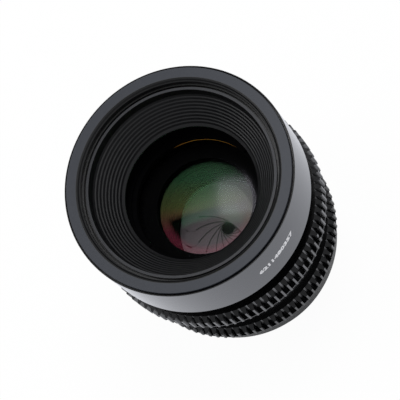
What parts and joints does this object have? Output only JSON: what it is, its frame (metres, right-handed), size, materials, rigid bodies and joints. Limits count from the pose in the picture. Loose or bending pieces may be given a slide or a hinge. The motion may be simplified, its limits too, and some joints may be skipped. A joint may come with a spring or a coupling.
{
  "type": "cinema prime lens",
  "caption": "Prime camera lens with a geared focus ring, a geared aperture ring, a stepped front hood, a sliding lens block, a working blade iris and a lugged bayonet mount.",
  "frame": {"origin": "centre of the rear rim of the bayonet mount, on the optical axis", "axes": "+Z along the optical axis towards the front of the lens; -Y is the side of the numbers on the front tube"},
  "size_m": [0.0728, 0.0728, 0.084],
  "materials": {
    "grey_anodised": "satin grey anodised",
    "dark_grey_anodised": "satin dark grey anodised",
    "black_anodised": "satin black anodised",
    "matt_black_paint": "matt black anti-reflection paint",
    "mount_steel": "turned stainless steel",
    "pin_steel": "blackened steel",
    "brass": "machined brass",
    "blade_steel": "black coated spring steel",
    "coated_glass": "polished glass with a green and magenta coating"
  },
  "bodies": {
    "barrel": {"front_ring": "dark_grey_anodised", "front_baffle": "matt_black_paint", "front_tube": "grey_anodised", "inner_barrel": "black_anodised", "focus_retainer": "black_anodised", "index_ring": "black_anodised", "index_screws": "pin_steel", "focus_stop_pin": "pin_steel", "iris_stop_pin": "pin_steel", "rear_barrel": "black_anodised", "bayonet_mount": "mount_steel", "mount_screws": "pin_steel", "rear_baffle": "matt_black_paint"},
    "focus_ring": {"focus_sleeve": "black_anodised", "cam_sleeve": "brass", "focus_gear": "black_anodised", "focus_gear_screws": "pin_steel"},
    "lens_block": {"front_cell": "black_anodised", "rear_cell": "black_anodised", "cam_followers": "brass", "front_retainer": "black_anodised", "front_element": "coated_glass", "front_spacer": "black_anodised", "second_element": "coated_glass", "second_spacer": "black_anodised", "third_element": "coated_glass", "fourth_element": "coated_glass", "rear_spacer": "black_anodised", "rear_element": "coated_glass", "rear_retainer": "black_anodised", "iris_plate": "black_anodised"},
    "aperture_ring": {"iris_sleeve": "black_anodised", "iris_gear": "black_anodised", "iris_gear_screws": "pin_steel"},
    "blade_ring": {"iris_actuator": "black_anodised", "iris_drive_pin": "pin_steel"},
    "blade_01": {"iris_blade_01": "blade_steel"},
    "blade_02": {"iris_blade_02": "blade_steel"},
    "blade_03": {"iris_blade_03": "blade_steel"},
    "blade_04": {"iris_blade_04": "blade_steel"},
    "blade_05": {"iris_blade_05": "blade_steel"},
    "blade_06": {"iris_blade_06": "blade_steel"},
    "blade_07": {"iris_blade_07": "blade_steel"},
    "blade_08": {"iris_blade_08": "blade_steel"},
    "blade_09": {"iris_blade_09": "blade_steel"},
    "blade_10": {"iris_blade_10": "blade_steel"},
    "blade_11": {"iris_blade_11": "blade_steel"},
    "blade_12": {"iris_blade_12": "blade_steel"},
    "blade_13": {"iris_blade_13": "blade_steel"},
    "blade_14": {"iris_blade_14": "blade_steel"},
    "blade_15": {"iris_blade_15": "blade_steel"}
  },
  "joints": [
    {"name": "focus_turn", "type": "hinge", "parent": "barrel", "child": "focus_ring", "pos_m": [0, 0, 0.042], "axis": [0, 0, 1], "range_deg": [0, 110]},
    {"name": "focus_slide", "type": "slide", "parent": "barrel", "child": "lens_block", "axis": [0, 0, 1], "range_m": [0, 0.005]},
    {"name": "aperture_turn", "type": "hinge", "parent": "barrel", "child": "aperture_ring", "pos_m": [0, 0, 0.027], "axis": [0, 0, 1], "range_deg": [0, 48]},
    {"name": "actuator_turn", "type": "hinge", "parent": "lens_block", "child": "blade_ring", "pos_m": [0, 0, 0.025], "axis": [0, 0, 1], "range_deg": [0, 48]},
    {"name": "blade_01_swing", "type": "hinge", "parent": "lens_block", "child": "blade_01", "pos_m": [-0.00226, -0.02148, 0.0301], "axis": [0, 0, 1], "range_deg": [-37.26, 0]},
    {"name": "blade_02_swing", "type": "hinge", "parent": "lens_block", "child": "blade_02", "pos_m": [0.00667, -0.02054, 0.0301], "axis": [0, 0, 1], "range_deg": [-37.26, 0]},
    {"name": "blade_03_swing", "type": "hinge", "parent": "lens_block", "child": "blade_03", "pos_m": [0.01445, -0.01605, 0.0301], "axis": [0, 0, 1], "range_deg": [-37.26, 0]},
    {"name": "blade_04_swing", "type": "hinge", "parent": "lens_block", "child": "blade_04", "pos_m": [0.01973, -0.00879, 0.0301], "axis": [0, 0, 1], "range_deg": [-37.26, 0]},
    {"name": "blade_05_swing", "type": "hinge", "parent": "lens_block", "child": "blade_05", "pos_m": [0.0216, 0, 0.0301], "axis": [0, 0, 1], "range_deg": [-37.26, 0]},
    {"name": "blade_06_swing", "type": "hinge", "parent": "lens_block", "child": "blade_06", "pos_m": [0.01973, 0.00879, 0.0301], "axis": [0, 0, 1], "range_deg": [-37.26, 0]},
    {"name": "blade_07_swing", "type": "hinge", "parent": "lens_block", "child": "blade_07", "pos_m": [0.01445, 0.01605, 0.0301], "axis": [0, 0, 1], "range_deg": [-37.26, 0]},
    {"name": "blade_08_swing", "type": "hinge", "parent": "lens_block", "child": "blade_08", "pos_m": [0.00667, 0.02054, 0.0301], "axis": [0, 0, 1], "range_deg": [-37.26, 0]},
    {"name": "blade_09_swing", "type": "hinge", "parent": "lens_block", "child": "blade_09", "pos_m": [-0.00226, 0.02148, 0.0301], "axis": [0, 0, 1], "range_deg": [-37.26, 0]},
    {"name": "blade_10_swing", "type": "hinge", "parent": "lens_block", "child": "blade_10", "pos_m": [-0.0108, 0.01871, 0.0301], "axis": [0, 0, 1], "range_deg": [-37.26, 0]},
    {"name": "blade_11_swing", "type": "hinge", "parent": "lens_block", "child": "blade_11", "pos_m": [-0.01747, 0.0127, 0.0301], "axis": [0, 0, 1], "range_deg": [-37.26, 0]},
    {"name": "blade_12_swing", "type": "hinge", "parent": "lens_block", "child": "blade_12", "pos_m": [-0.02113, 0.00449, 0.0301], "axis": [0, 0, 1], "range_deg": [-37.26, 0]},
    {"name": "blade_13_swing", "type": "hinge", "parent": "lens_block", "child": "blade_13", "pos_m": [-0.02113, -0.00449, 0.0301], "axis": [0, 0, 1], "range_deg": [-37.26, 0]},
    {"name": "blade_14_swing", "type": "hinge", "parent": "lens_block", "child": "blade_14", "pos_m": [-0.01747, -0.0127, 0.0301], "axis": [0, 0, 1], "range_deg": [-37.26, 0]},
    {"name": "blade_15_swing", "type": "hinge", "parent": "lens_block", "child": "blade_15", "pos_m": [-0.0108, -0.01871, 0.0301], "axis": [0, 0, 1], "range_deg": [-37.26, 0]}
  ],
  "couplings": [
    {"joint": "focus_slide", "follows": "focus_turn", "m_per_rad": 0.0026044},
    {"joint": "actuator_turn", "follows": "aperture_turn", "ratio": 1},
    {"joint": "blade_01_swing", "follows": "aperture_turn", "ratio": -0.77622},
    {"joint": "blade_02_swing", "follows": "aperture_turn", "ratio": -0.77622},
    {"joint": "blade_03_swing", "follows": "aperture_turn", "ratio": -0.77622},
    {"joint": "blade_04_swing", "follows": "aperture_turn", "ratio": -0.77622},
    {"joint": "blade_05_swing", "follows": "aperture_turn", "ratio": -0.77622},
    {"joint": "blade_06_swing", "follows": "aperture_turn", "ratio": -0.77622},
    {"joint": "blade_07_swing", "follows": "aperture_turn", "ratio": -0.77622},
    {"joint": "blade_08_swing", "follows": "aperture_turn", "ratio": -0.77622},
    {"joint": "blade_09_swing", "follows": "aperture_turn", "ratio": -0.77622},
    {"joint": "blade_10_swing", "follows": "aperture_turn", "ratio": -0.77622},
    {"joint": "blade_11_swing", "follows": "aperture_turn", "ratio": -0.77622},
    {"joint": "blade_12_swing", "follows": "aperture_turn", "ratio": -0.77622},
    {"joint": "blade_13_swing", "follows": "aperture_turn", "ratio": -0.77622},
    {"joint": "blade_14_swing", "follows": "aperture_turn", "ratio": -0.77622},
    {"joint": "blade_15_swing", "follows": "aperture_turn", "ratio": -0.77622}
  ]
}
